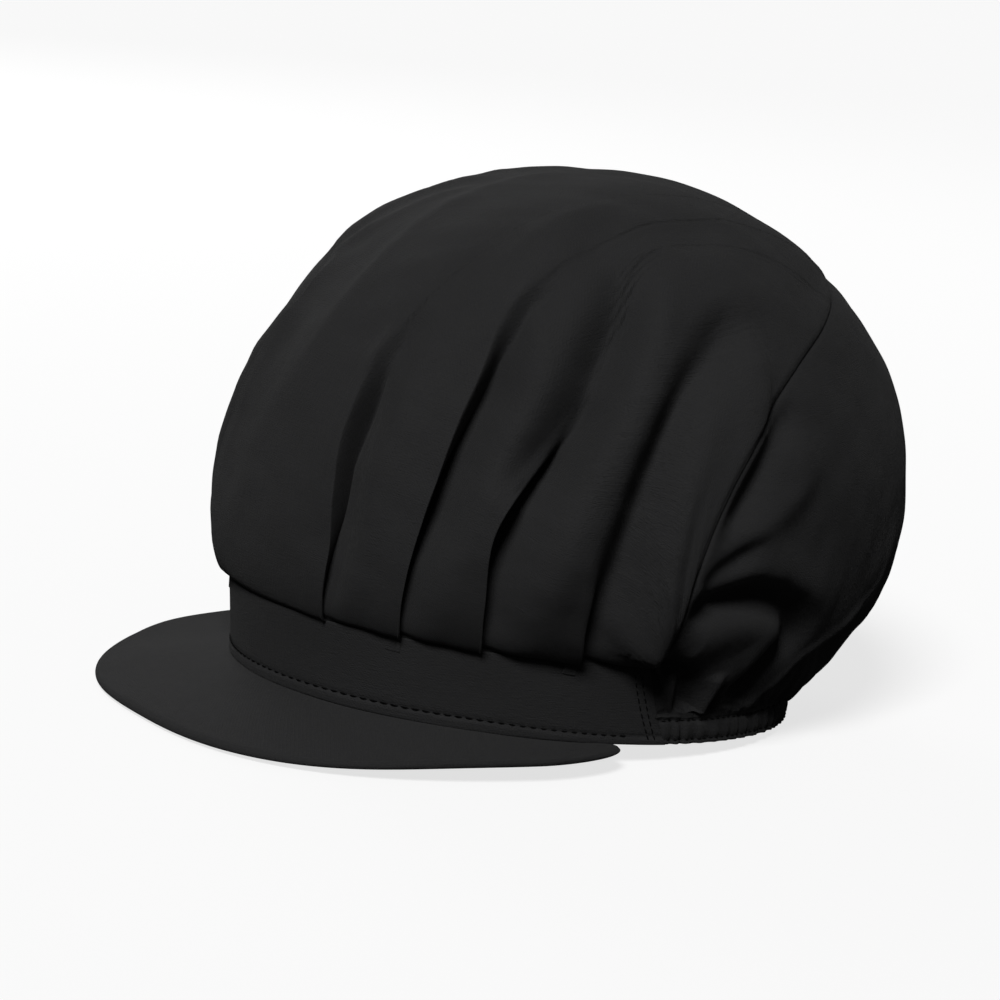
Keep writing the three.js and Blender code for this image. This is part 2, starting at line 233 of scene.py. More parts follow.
def crown_normal(form, place):
    slopes = [
        crown_point(form, place + step) - crown_point(form, place - step)
        for step in np.eye(2) * 2e-3
    ]
    return unit(np.cross(*slopes))


SEAM_LINE = bezier(SEAM_PATH, np.linspace(0, 1, 600))


def seam_y(z):
    return np.interp(z, SEAM_LINE[:, 1], SEAM_LINE[:, 0])


def seam_place(form, p):
    """Where the crown seam crosses a lengthwise line of the disc."""
    p = np.asarray(p, float)
    ahead = np.full(p.shape, -0.35)
    behind = np.full(p.shape, 0.5)
    for _ in range(40):
        middle = (ahead + behind) / 2
        point = crown_point(form, np.stack([p, middle], -1))
        is_behind = point[..., 1] > seam_y(point[..., 2])
        behind = np.where(is_behind, middle, behind)
        ahead = np.where(is_behind, ahead, middle)
    return np.stack([p, (ahead + behind) / 2], -1)


def side_seam_angle(z):
    """Angle on the opening where the side seam stands at a height."""
    z = np.asarray(z, float)
    lean = BAND_LEAN * z / BAND_HEIGHT
    return np.arccos(np.clip(-(seam_y(z) + lean) / HALF_LENGTH, -1, 1))


def opening_point(angle, inset, height):
    angle, inset, height = np.broadcast_arrays(angle, inset, height)
    lean = BAND_LEAN * height / BAND_HEIGHT
    return np.stack([
        (HALF_WIDTH - inset) * np.sin(angle),
        -(HALF_LENGTH - inset) * np.cos(angle) - lean,
        height,
    ], -1)


# ---- ridges, valleys and creases pressed into the cloth ----

def stroke(base, normal, form, path, height, left, right, taper, power):
    """Height field of one ridge, or valley when negative, along a path of (angle, rise).

    left and right are its reach on each side of the path, seen from outside.
    """
    angle, rise = np.array(path, float).T
    line = crown_point(form, through(disc(angle, rise), 60))
    tangent = unit(np.gradient(line, axis=0))
    flat = base.reshape(-1, 3)
    nearest = np.empty(len(flat), int)
    for start in range(0, len(flat), 8000):
        part = slice(start, start + 8000)
        nearest[part] = np.linalg.norm(flat[part, None] - line, axis=-1).argmin(1)
    away = flat - line[nearest]
    side = (np.cross(tangent[nearest], normal.reshape(-1, 3)) * away).sum(-1)
    distance = np.linalg.norm(away, axis=-1)
    width = np.where(side > 0, right, left)
    share = nearest / (len(line) - 1)
    ends = smooth(share / max(taper[0], 1e-3)) * smooth((1 - share) / max(taper[1], 1e-3))
    field = height * ends * fade(distance, width, power)
    return field.reshape(base.shape[:-1])


def both_sides(base, normal, form, strokes):
    """The listed strokes on the left, and a slightly changed mirror image on the right."""
    field = np.zeros(base.shape[:-1])
    for index, (path, height, left, right, taper, power) in enumerate(strokes):
        field += stroke(base, normal, form, path, height, left, right, taper, power)
        change = 1 + 0.12 * math.sin(2.1 * index + 0.7)
        mirrored = [(-angle * (1 + 0.03 * math.sin(index)), rise) for angle, rise in path]
        field += stroke(
            base, normal, form, mirrored, height * change, right * change, left, taper, power
        )
    return field


# ---- meshes ----

def grid_faces(columns, rows):
    a = np.arange(columns * rows).reshape(columns, rows)[:-1, :-1].ravel()
    return np.stack([a, a + rows, a + rows + 1, a + 1], -1)


def rim_faces(columns, rows):
    """Quads that join the outer and the inner layer of a thick sheet round its edge."""
    last = columns * rows
    index = np.arange(last).reshape(columns, rows)
    loop = np.concatenate([index[:, 0], index[-1, 1:], index[-2::-1, -1], index[0, -2::-1]])
    a, b = loop[:-1], loop[1:]
    return np.stack([b, a, a + last, b + last], -1)


def grid_normals(points):
    return unit(np.cross(np.gradient(points, axis=0), np.gradient(points, axis=1)))


def sheet(points, thickness):
    """A cloth of some thickness below a grid of points, with coordinates in mm of cloth."""
    columns, rows = points.shape[:2]
    inner = points - grid_normals(points) * thickness
    vertices = np.concatenate([points.reshape(-1, 3), inner.reshape(-1, 3)])
    outside = grid_faces(columns, rows)
    inside = outside[:, ::-1] + columns * rows
    faces = np.concatenate([outside, inside, rim_faces(columns, rows)])
    u, v = run_length(points, 0), run_length(points, 1)
    cloth = np.stack([u - u[columns // 2], v], -1).reshape(-1, 2)
    return vertices, faces, np.concatenate([cloth, cloth])


def tube(sections):
    """A closed body through a row of closed loops, shape (sections, points, 3)."""
    count, size = sections.shape[:2]
    faces = []
    for start in range(0, (count - 1) * size, size):
        for k in range(size):
            after = (k + 1) % size
            faces.append((start + k, start + size + k, start + size + after, start + after))
    last = (count - 1) * size
    faces.append(tuple(range(size)))
    faces.append(tuple(last + k for k in reversed(range(size))))
    along = run_length(sections, 0)
    closed = np.concatenate([sections, sections[:, :1]], axis=1)
    round_about = run_length(closed, 1)[:, :-1]
    cloth = np.stack([along, round_about], -1).reshape(-1, 2)
    return sections.reshape(-1, 3), faces, cloth


def joined(parts):
    """Several meshes as one."""
    faces, offset = [], 0
    for vertices, some_faces, _ in parts:
        faces += [tuple(i + offset for i in face) for face in some_faces]
        offset += len(vertices)
    vertices, _, cloth = zip(*parts)
    return np.concatenate(vertices), faces, np.concatenate(cloth)


def add_mesh(name, vertices, faces, cloth, material):
    """A new object from level-cap millimetres; the cloth coordinates become its UV map."""
    mesh = bpy.data.meshes.new(name)
    mesh.from_pydata(to_world(vertices).tolist(), [], [tuple(int(i) for i in f) for f in faces])
    uv = mesh.uv_layers.new(name="cloth_mm")
    corner = np.empty(len(mesh.loops), int)
    mesh.loops.foreach_get("vertex_index", corner)
    uv.data.foreach_set("uv", np.asarray(cloth, np.float32)[corner].ravel())
    mesh.shade_smooth()
    mesh.set_sharp_from_angle(angle=math.radians(70))
    mesh.materials.append(material)
    piece = bpy.data.objects.new(name, mesh)
    bpy.context.scene.collection.objects.link(piece)
    return piece


BLENDS = {
    "visor": ((0, -98, 0), (0, -120, -20)),
    "back_hem": ((0, 0, 0), (0, 72.1, -43.2)),
}


def attach(piece, body, node):
    """Parents the piece to its body's empty, or for the bodies in BLENDS leaves it unparented with
    its transform baked into the mesh; hides its CAD node.
    """
    if body in BLENDS:
        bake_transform(piece)
    else:
        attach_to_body(piece, body)
    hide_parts(node)


# ---- materials ----

class Nodes:
    """A material's node tree, built by short calls."""

    def __init__(self, name):
        self.material = bpy.data.materials.new(name)
        self.material.use_nodes = True
        self.tree = self.material.node_tree
        self.shader = self.tree.nodes["Principled BSDF"]

    def link(self, value, socket):
        if hasattr(value, "is_output"):
            self.tree.links.new(value, socket)
        else:
            socket.default_value = value

    def add(self, kind, output, inputs, **settings):
        """A new node with its inputs linked or set; the output asked for."""
        node = self.tree.nodes.new("ShaderNode" + kind)
        for name, setting in settings.items():
            setattr(node, name, setting)
        for key, value in inputs.items():
            self.link(value, node.inputs[key])
        return node.outputs[output]

    def math(self, operation, first, second):
        return self.add("Math", 0, {0: first, 1: second}, operation=operation)

    def plus(self, first, second):
        return self.math("ADD", first, second)

    def times(self, first, second):
        return self.math("MULTIPLY", first, second)

    def sine(self, value):
        return self.math("SINE", value, 0.0)

    def noise(self, coordinates, scale, detail, roughness=0.5):
        return self.add("TexNoise", "Fac", {
            "Vector": coordinates, "Scale": scale, "Detail": detail, "Roughness": roughness
        })

    def stretch(self, coordinates, scale):
        return self.add("Mapping", "Vector", {"Vector": coordinates, "Scale": scale})

    def coordinates(self, kind):
        return self.add("TexCoord", kind, {})

    def across_and_along(self, cloth):
        """The two cloth coordinates, in millimetres."""
        split = self.add("SeparateXYZ", 0, {0: cloth}).node
        return split.outputs[0], split.outputs[1]

    def ramp(self, value, low, high):
        return self.add("MapRange", "Result", {"Value": value, "To Min": low, "To Max": high})

    def colour(self, value, dark, light):
        return self.add("Mix", "Result", {
            "Factor": value, "A": (*dark, 1), "B": (*light, 1)
        }, data_type="RGBA")

    def bump(self, height, distance, under=None):
        inputs = {"Height": height, "Distance": distance}
        if under is not None:
            inputs["Normal"] = under
        return self.add("Bump", "Normal", inputs)

    def finish(self, colour, roughness, normal, sheen=0.0, specular=0.20):
        values = {
            "Base Color": colour, "Roughness": roughness, "Normal": normal, "Sheen Weight": sheen,
            "Sheen Roughness": 0.45, "Specular IOR Level": specular,
        }
        for key, value in values.items():
            self.link(value, self.shader.inputs[key])
        return self.material


def grey(value):
    """A grey that is a very little blue."""
    return (value, value, value * 1.03)


def woven_cloth(name, dark, light, pitch, depth, sheen, rough):
    """Twill: fine diagonal ribs of crossing threads, slubs, and a soft change of tone."""
    n = Nodes(name)
    cloth = n.coordinates("UV")
    place = n.coordinates("Object")
    u, v = n.across_and_along(cloth)
    turn = 2 * math.pi / pitch
    crossings = n.times(n.sine(n.times(u, turn)), n.sine(n.times(v, turn)))
    rib = n.sine(n.times(n.plus(u, v), turn / 2))
    weave = n.plus(crossings, n.times(rib, 0.8))
    slub_u = n.noise(n.stretch(cloth, (3.2, 0.22, 1)), 1.0, 3)
    slub_v = n.noise(n.stretch(cloth, (0.22, 3.2, 1)), 1.0, 3)
    slubs = n.plus(slub_u, slub_v)
    fuzz = n.noise(place, 1700, 3, 0.7)
    crumple = n.noise(place, 130, 4, 0.55)
    patches = n.noise(place, 22, 3)
    grain = n.noise(place, 2200, 2, 0.6)
    soft_tone = n.times(n.plus(slubs, n.plus(fuzz, patches)), 0.25)
    tone = n.plus(n.times(soft_tone, 0.6), n.times(grain, 1.7))
    colour = n.colour(n.ramp(tone, 0.8, 1.6), dark, light)
    roughness = n.ramp(slubs, rough[0] - 0.1, rough[1] - 0.02)
    crumpled = n.bump(crumple, 0.00028)
    slubbed = n.bump(n.plus(slubs, fuzz), 0.00026, crumpled)
    return n.finish(colour, roughness, n.bump(weave, depth, slubbed), sheen)


def thread_material(name, dark, light):
    """Twisted sewing thread with a little fuzz."""
    n = Nodes(name)
    u, v = n.across_and_along(n.coordinates("UV"))
    twist = n.sine(n.times(n.plus(u, n.times(v, 0.8)), 16))
    fuzz = n.noise(n.coordinates("Object"), 3000, 3)
    colour = n.colour(fuzz, dark, light)
    normal = n.bump(n.plus(twist, fuzz), 0.00008)
    return n.finish(colour, n.ramp(fuzz, 0.55, 0.7), normal, 0.0, 0.12)


def nonwoven_material(name):
    """Matted fibres with denser clumps."""
    n = Nodes(name)
    place = n.coordinates("Object")
    fibres = n.noise(n.stretch(place, (1, 1, 2.4)), 900, 6, 0.75)
    clumps = n.noise(place, 160, 3)
    colour = n.colour(n.times(fibres, clumps), grey(0.012), grey(0.06))
    return n.finish(colour, n.ramp(fibres, 0.85, 1.0), n.bump(fibres, 0.0003))


def board_material(name):
    """Grey-brown pressed board, its fibres lying one way."""
    n = Nodes(name)
    place = n.coordinates("Object")
    fibres = n.noise(n.stretch(place, (1, 5, 1)), 500, 5, 0.7)
    mottle = n.noise(place, 60, 3)
    colour = n.colour(n.times(fibres, mottle), (0.16, 0.15, 0.13), (0.42, 0.39, 0.34))
    return n.finish(colour, n.ramp(mottle, 0.7, 0.9), n.bump(fibres, 0.0002))


def elastic_material(name):
    """Knitted braid: ribs along its length, crossed by short loops."""
    n = Nodes(name)
    u, v = n.across_and_along(n.coordinates("UV"))
    ribs = n.sine(n.times(v, 2 * math.pi / 0.9))
    loops = n.sine(n.times(u, 2 * math.pi / 1.3))
    knit = n.plus(ribs, n.times(n.times(ribs, loops), 0.5))
    colour = n.colour(n.ramp(knit, 0.2, 0.7), grey(0.008), grey(0.03))
    return n.finish(colour, 0.75, n.bump(knit, 0.0002), 0.2)


TWILL = woven_cloth("black twill", grey(0.003), grey(0.022), 0.62, 0.00002, 0.04, (0.66, 0.78))
LINING = woven_cloth("black lining", grey(0.009), grey(0.02), 0.5, 0.00004, 0.08, (0.7, 0.9))
TAPE = woven_cloth("seam tape", grey(0.008), grey(0.022), 0.9, 0.0001, 0.1, (0.75, 0.9))
THREAD = thread_material("black thread", grey(0.001), grey(0.004))
NONWOVEN = nonwoven_material("nonwoven interlining")
BOARD = board_material("visor board")
ELASTIC = elastic_material("knitted elastic")


# ---- the crown's front panel ----

# Each pleat: the line of its fold edge as (angle, rise); the disc place where it ends on the
# crown seam; and rows of its shape, which are height above the band, overlap, crest, valley,
# reach of the crest, reach of the valley and softness.
PLEATS = [
    ([(21.5, 0), (21.8, 0.14), (18.6, 0.32), (18.5, 0.43), (24, 0.62), (30, 0.73),
      (52, 0.84)],
     0.13,
     [
      (0, 4.6, 0.8, 1.2, 9, 4, 1.6),
      (18, 4.2, 1.3, 6, 8, 5.5, 1.6),
      (42, 3.2, 2.2, 10.6, 8, 7, 1.8),
      (66, 1.6, 2.8, 10.6, 8, 7.5, 2.2),
      (90, 0, 2.4, 4, 8, 6.5, 3),
      (110, 0, 1, 0, 9, 9, 6),
      (160, 0, 0, 0, 10, 9, 6),
     ]),
    ([(38.3, 0), (37.2, 0.14), (37.7, 0.28), (39, 0.42), (40.5, 0.54), (46, 0.65),
      (69, 0.78)],
     0.215,
     [
      (0, 5, 0.9, 1.6, 9, 5, 1.6),
      (18, 4.6, 1.4, 5.4, 9, 7, 1.6),
      (48, 3.8, 2.4, 9.8, 8, 8.5, 1.8),
      (85, 2.2, 2.9, 10.2, 8, 9, 2.2),
      (112, 0, 2.6, 4.2, 8, 8, 3.5),
      (136, 0, 1.2, 0, 10, 10, 6),
      (180, 0, 0, 0, 10, 10, 6),
     ]),
    ([(54.5, 0), (51.8, 0.13), (50, 0.25), (54, 0.335), (58.5, 0.41), (61, 0.53),
      (62, 0.66)],
     0.30,
     [
      (0, 5, 0.9, 2, 9, 6, 1.6),
      (18, 4.6, 1.5, 6.4, 9, 9, 1.8),
      (45, 4, 2.6, 11, 8, 11, 2),
      (66, 2.2, 1.8, 9.6, 8, 9, 2.6),
      (84, 0, 0, 5, 9, 8, 4),
      (102, 0, 0, 0, 9, 9, 6),
      (205, 0, 0, 0, 12, 12, 8),
     ]),
    ([(73.3, 0), (70.3, 0.15), (70.7, 0.3), (74.5, 0.455), (86, 0.585)],
     0.42,
     [
      (0, 5, 0.9, 2.4, 10, 8, 1.8),
      (18, 3, 1.8, 6.8, 11, 12, 4),
      (40, 0, 2.4, 10.5, 12, 16, 8),
      (80, 0, 2.4, 12, 14, 19, 10),
      (120, 0, 1.4, 7.4, 14, 19, 12),
      (156, 0, 0.3, 1, 14, 18, 12),
      (200, 0, 0, 0, 14, 18, 12),
     ]),
]
FOLD_HALF_ZONE = 0.17  # half of a fold's share of the columns between two pleats
CORNER = len(PLEATS) + 1
SEAM_CORNER = 0.914  # disc place where the panel's side edge ends on the crown seam
FRONT_ROWS = 112
PANEL_LENGTH = 285.0  # about the front panel's length from the band over the top
CLOSE_ROWS = (0, 0.5, 1.1, 1.9, 3.0, 4.4, 6.2, 8.2)  # distances from the band
TUCKED_ROWS = ((0, 6.0, 1.8), (1, 1.6, 1.6))  # row, drop and inset behind the band


def right_hand(pleat, index):
    """The mirrored pleat on the wearer's right, hand-folded a little differently."""
    shift = (1.3, -1.1, 0.9, -1.2)[index]
    strength = (1.08, 0.92, 1.06, 0.94)[index]
    line, end, rows = pleat
    line = [(-(angle + shift), rise) for angle, rise in line]
    shape = [
        (height * strength, overlap, crest * strength, valley * strength, *reaches)
        for height, overlap, crest, valley, *reaches in rows
    ]
    return line, -end, shape


def pleats_by_column():
    """Every pleat with its column coordinate: positive on the wearer's left."""
    left = {k + 1: pleat for k, pleat in enumerate(PLEATS)}
    right = {-k - 1: right_hand(pleat, k) for k, pleat in enumerate(PLEATS)}
    return {**left, **right}


def row_shares():
    """Rows of the front panel as shares of its length, close together at the band."""
    *low, first_even = np.array(CLOSE_ROWS) / PANEL_LENGTH
    return np.concatenate([low, np.linspace(first_even, 1, FRONT_ROWS - len(low))])


def column_places():
    """Column coordinates, close together where the cloth turns in a fold."""
    xi = np.linspace(-1, 1, 401)
    density = 1 + 1.6 * fade(np.abs(xi) - 0.4, 0.2)
    spread = np.cumsum(density)
    spread = (spread - spread[0]) / (spread[-1] - spread[0])
    columns = []
    for k in range(-CORNER, CORNER):
        start = k + (FOLD_HALF_ZONE if abs(k) in range(1, CORNER) else 0)
        stop = k + 1 - (FOLD_HALF_ZONE if abs(k + 1) in range(1, CORNER) else 0)
        count = 30 if k in (-CORNER, CORNER - 1) else 12
        columns.append(np.linspace(start, stop, count, endpoint=False))
        if 0 < abs(k + 1) < CORNER:
            count = 30 if k + 1 > 0 else 26
            steps = np.interp(np.linspace(0, 1, count, endpoint=False), spread, xi)
            columns.append(k + 1 + FOLD_HALF_ZONE * steps)
    return np.concatenate([*columns, [float(CORNER)]])


def anchor_line(form, places, shares):
    """Disc places at shares of a line's length over the crown."""
    dense = through(places, 500)
    length = run_length(crown_point(form, dense))
    at = shares * length[-1]
    return np.stack([np.interp(at, length, dense[:, k]) for k in range(2)], -1)


def front_places(columns, shares):
    """Disc places of the front panel's grid, its edges exactly on the band and the seam."""
    form = FORM_OVER_BAND
    corner_p = np.sin(side_seam_angle(CROWN_FOOT))
    edge = seam_place(form, np.linspace(corner_p, SEAM_CORNER, 8))
    middle = [*disc(np.zeros(6), [0, 0.2, 0.4, 0.6, 0.8, 0.94]), *seam_place(form, np.zeros(1))]
    lines, ends, angles = {0: middle}, {0: 0.0}, {0: 0.0}
    for side in (-1, 1):
        lines[side * CORNER] = edge * np.array([side, 1])
        ends[side * CORNER] = side * SEAM_CORNER
        angles[side * CORNER] = side * math.degrees(math.atan2(corner_p, -edge[0, 1]))
    for k, (line, end, _) in pleats_by_column().items():
        angle, rise = np.array(line).T
        lines[k] = [*disc(angle, rise), *seam_place(form, np.array([end]))]
        ends[k] = end
        angles[k] = angle[0]
    knots = sorted(lines)
    anchors = np.stack([anchor_line(form, np.array(lines[k]), shares) for k in knots])
    places = hermite(knots, anchors, columns)
    foot = disc(hermite(knots, [angles[k] for k in knots], columns), np.zeros(len(columns)))
    head = seam_place(form, hermite(knots, [ends[k] for k in knots], columns))
    foot_miss = (foot - places[:, 0])[:, None] * ((1 - shares) ** 2)[:, None]
    head_miss = (head - places[:, -1])[:, None] * (shares**2)[:, None]
    return places + foot_miss + head_miss


# Each stroke: path, height, reach on its left, reach on its right, tapers at its two ends,
# sharpness.
FRONT_STROKES = [
    ([(30, 0.5), (31, 0.62), (38, 0.75), (62, 0.83)], 0.9, 5, 8, (0.3, 0.3), 1.6),
    # the rounded tips of the first two folds
    ([(17.5, 0.37), (18.6, 0.445), (21.5, 0.40), (22.5, 0.33)], 1.1, 3.5, 3.5, (0.3, 0.4), 2),
    ([(39, 0.47), (41.5, 0.565), (45.5, 0.52), (47, 0.44)], 1.6, 4.5, 4.5, (0.3, 0.4), 2),
    # the last ridge, right beside the crown seam, and the arch over the wide valley
    ([(84, 0.03), (84.5, 0.12), (85, 0.22), (86.5, 0.305), (89.5, 0.375), (91.5, 0.44),
      (91.5, 0.51), (88, 0.60), (81, 0.625)], 5, 9, 5, (0.1, 0.25), 2),
    # the upper half of the third fold, an open valley with its ridge on the rear side
    ([(51, 0.27), (55, 0.355), (58.5, 0.43), (60, 0.51), (61.5, 0.60), (60.5, 0.70)],
     -11, 8, 7.5, (0.25, 0.4), 2),
    # the full ridge between the third and the fourth fold
    ([(64, 0.06), (62.5, 0.22), (63.5, 0.34), (67, 0.43), (69, 0.53), (67, 0.63), (62, 0.72)],
     3, 9, 9, (0.2, 0.3), 2),
    ([(52, 0.62), (49, 0.70), (58, 0.79)], -1.8, 7, 8, (0.4, 0.4), 2),
    ([(72, 0.70), (80, 0.76), (98, 0.80)], -1.6, 8, 8, (0.4, 0.4), 2),
    ([(100, 0.58), (118, 0.66), (150, 0.72)], -0.9, 7, 7, (0.3, 0.3), 2),
]
RIGHT_CREASES = [
    [(-20, 0.40), (-24, 0.535), (-19, 0.655), (-17, 0.80)],
    [(-29, 0.45), (-32, 0.58), (-31, 0.70), (-30, 0.84)],
    [(-38, 0.52), (-42, 0.64), (-44, 0.76)],
]
CENTRE_CREASE = [(0, 0.36), (-1, 0.5), (-4, 0.68), (-12, 0.84), (-40, 0.95)]


def front_panel():
    """The grid of the folded front panel, and the crown's normals at its points."""
    form = FORM_OVER_BAND
    columns, shares = column_places(), row_shares()
    places = front_places(columns, shares)
    base = crown_point(form, places)
    normal = crown_normal(form, places)
    across = np.gradient(base, axis=0)
    across = unit(across - (across * normal).sum(-1, keepdims=True) * normal)
    along_row = run_length(base, 0)
    along_column = run_length(base, 1)
    sideways = np.zeros(base.shape[:2])
    outwards = np.zeros(base.shape[:2])
    for k, (_, _, shape) in pleats_by_column().items():
        side = 1 if k > 0 else -1
        fold = np.argmin(np.abs(columns - k))
        height = along_column[fold]
        distance = side * (along_row - along_row[fold])
        overlap, crest, valley, reach_ahead, reach_behind, soft = (
            keyed(shape, column, height) for column in range(1, 7)
        )
        xi = np.clip(side * (columns - k) / FOLD_HALF_ZONE, -1, 1)[:, None]
        sideways -= side * overlap * np.sin(math.pi * xi) * (1 - xi**2)
        past = smooth((distance + soft) / (2 * soft))
        ahead = fade(np.maximum(-distance, 0), reach_ahead, 1.6)
        behind = fade(np.maximum(distance, 0), reach_behind, 1.6)
        outwards += (1 - past) * crest * ahead - past * valley * behind
        outwards += 0.22 * valley * fade(distance - 2.1 * reach_behind, reach_behind)
        corner = fade(np.maximum(-distance, 0), 6, 1) * (1 - past)
        base[..., 2] -= 0.6 * corner * fade(along_column, 6, 1)
    outwards += both_sides(base, normal, form, FRONT_STROKES)
    outwards += stroke(base, normal, form, CENTRE_CREASE, 0.9, 3, 6, (0.2, 0.2), 1.4)
    for path in RIGHT_CREASES:
        outwards += stroke(base, normal, form, path, 1.5, 2.5, 5, (0.3, 0.3), 1.7)
    to_seam = along_column[:, -1:] - along_column
    to_side = np.minimum(along_row, along_row[-1] - along_row)
    to_edge = np.minimum(to_seam, to_side)
    free = smooth(along_column / 25) * smooth(to_edge / 12)
    outwards += free * (0.35 * ripple(base, 42, 3) + 0.12 * ripple(base, 15, 4))
    outwards -= SEAM_GROOVE * fade(to_edge, SEAM_GROOVE_REACH)
    outwards += fade(along_column, 16, 1) - 2.0 * fade(along_column, 1, 1)
    for row, drop, inwards in TUCKED_ROWS:
        base[:, row, 2] -= drop
        outwards[:, row] = -inwards
    return base + normal * outwards[..., None] + across * sideways[..., None], normal


# ---- the back panel, gathered into the casing ----

BACK_COLUMNS = 330
BACK_ROWS = 112
BACK_SEAM_END = 0.945  # disc place where the panel's side edge ends on the crown seam
LAID_ROWS = ((-0.1, 0.7), (0.5, 0.0), (1.4, -0.15))  # rise over the upper stitching, inset
CASING_HALF_RUN = 140.5
UPPER_ROW = 7.8
LOWER_ROW = 1.6


def tubes(x):
    """Rounded folds side by side with narrow valleys between; mean about 0."""
    return np.sqrt(np.sin(x) ** 2 + 0.02) - 0.66


def gathers(angle):
    """Height of the fine gathers at an angle on the opening, uneven as hand-drawn elastic is."""
    u = along_casing(angle)
    strength = 0.75 + 0.25 * np.sin(u / 9 + 2 * np.sin(u / 23))
    coarse = tubes(u * math.pi / 5.3 + 1.4 * np.sin(u / 13) + 0.8 * np.sin(u / 5.1))
    fine = tubes(u * math.pi / 2.9 + 1.2 * np.sin(u / 7 + 1))
    return strength * (0.9 * coarse + 0.3 * fine)


def along_casing(angle):
    """Millimetres along the casing from the wearer's left side seam."""
    start = side_seam_angle(CASING_HEIGHT / 2)
    return (angle - start) / (math.pi - start) * CASING_HALF_RUN


BACK_STROKES = [
    # hollow behind the crown seam, the curved ridge under it and the soft fold below
    ([(87, 0.245), (90, 0.285), (93.5, 0.34), (96.5, 0.40), (101, 0.47)],
     -6, 7, 8, (0.3, 0.3), 2),
    ([(87, 0.228), (92, 0.243), (98, 0.27), (101.5, 0.305), (102, 0.355), (104, 0.42)],
     2.8, 7, 7, (0.5, 0.35), 1.8),
    ([(86, 0.205), (92, 0.222), (99, 0.232)], -2.6, 4, 6, (0.15, 0.4), 2),
    # the large bent fold down to the casing, the lip over it and the pouch it wraps
    ([(84.5, 0.18), (92, 0.165), (98, 0.157), (105, 0.148), (111, 0.128), (113.5, 0.10),
      (111.5, 0.068), (110, 0.03), (110, 0)], -6.6, 5, 6, (0.05, 0.05), 2),
    ([(88, 0.208), (95, 0.202), (103, 0.188), (111, 0.165), (117, 0.13), (119, 0.09)],
     2.4, 9, 4.5, (0.3, 0.3), 2),
    ([(89, 0.118), (95, 0.114), (101, 0.112), (104.5, 0.10), (104.5, 0.06), (104, 0.02)],
     1.3, 6, 8, (0.15, 0.2), 2),
    # the narrow fold beside the side seam, and the gathers on both sides of it
    ([(83, 0.125), (87, 0.095), (92, 0.065), (96, 0.035), (98.5, 0)],
     -6, 3.2, 3, (0.1, 0.02), 2),
    ([(86.5, 0.07), (90, 0.04), (92.5, 0)], 1.8, 2.6, 2.6, (0.2, 0.05), 2),
    ([(86, 0.045), (88.5, 0)], -1.8, 2, 2, (0.2, 0.05), 2),
    ([(99, 0.06), (101, 0.03), (101.5, 0)], 2, 2.6, 2.4, (0.25, 0.05), 2),
    ([(102.5, 0.045), (104.5, 0)], -2.2, 2, 2, (0.25, 0.05), 2),
    # the pressed crease and the soft folds behind it
    ([(112, 0), (116.5, 0.02), (119, 0.07), (128, 0.135), (134, 0.215), (130, 0.27)],
     1.3, 1.6, 6, (0.08, 0.4), 1.5),
    ([(121, 0), (125, 0.05), (134, 0.10), (142, 0.17)], -4.2, 5, 6, (0.05, 0.4), 2),
    ([(133, 0), (137, 0.05), (143, 0.13), (146, 0.24)], 2.6, 6, 6, (0.05, 0.4), 2),
    ([(143, 0), (146, 0.10), (150, 0.24)], -4.6, 6, 7, (0.05, 0.4), 2),
    ([(156, 0), (154, 0.13), (158, 0.26)], -3.2, 5, 6, (0.05, 0.4), 2),
    ([(168, 0), (171, 0.12), (168, 0.32)], -4.8, 7, 8, (0.05, 0.4), 2),
]


def back_feet():
    """Angles on the opening where the back panel's columns stand."""
    start = side_seam_angle(FORM_OVER_CASING["foot"])
    return np.linspace(start, 2 * math.pi - start, BACK_COLUMNS)


def back_places():
    """Disc places of the back panel's grid, from the casing up to the crown seam.

    The first rows share one place here, and back_panel lays them on the casing.
    """
    form = FORM_OVER_CASING
    foot = disc(np.degrees(back_feet()), np.zeros(BACK_COLUMNS))
    heads = seam_place(form, np.linspace(BACK_SEAM_END, -BACK_SEAM_END, 400))
    length = run_length(crown_point(form, heads))
    shares = np.linspace(0, 1, BACK_COLUMNS)
    head = seam_place(form, np.interp(shares * length[-1], length, heads[:, 0]))
    rows = np.linspace(0, 1, BACK_ROWS - len(LAID_ROWS)) ** 1.1
    rows = np.concatenate([np.zeros(len(LAID_ROWS)), rows])
    return foot[:, None] + (head - foot)[:, None] * rows[:, None]


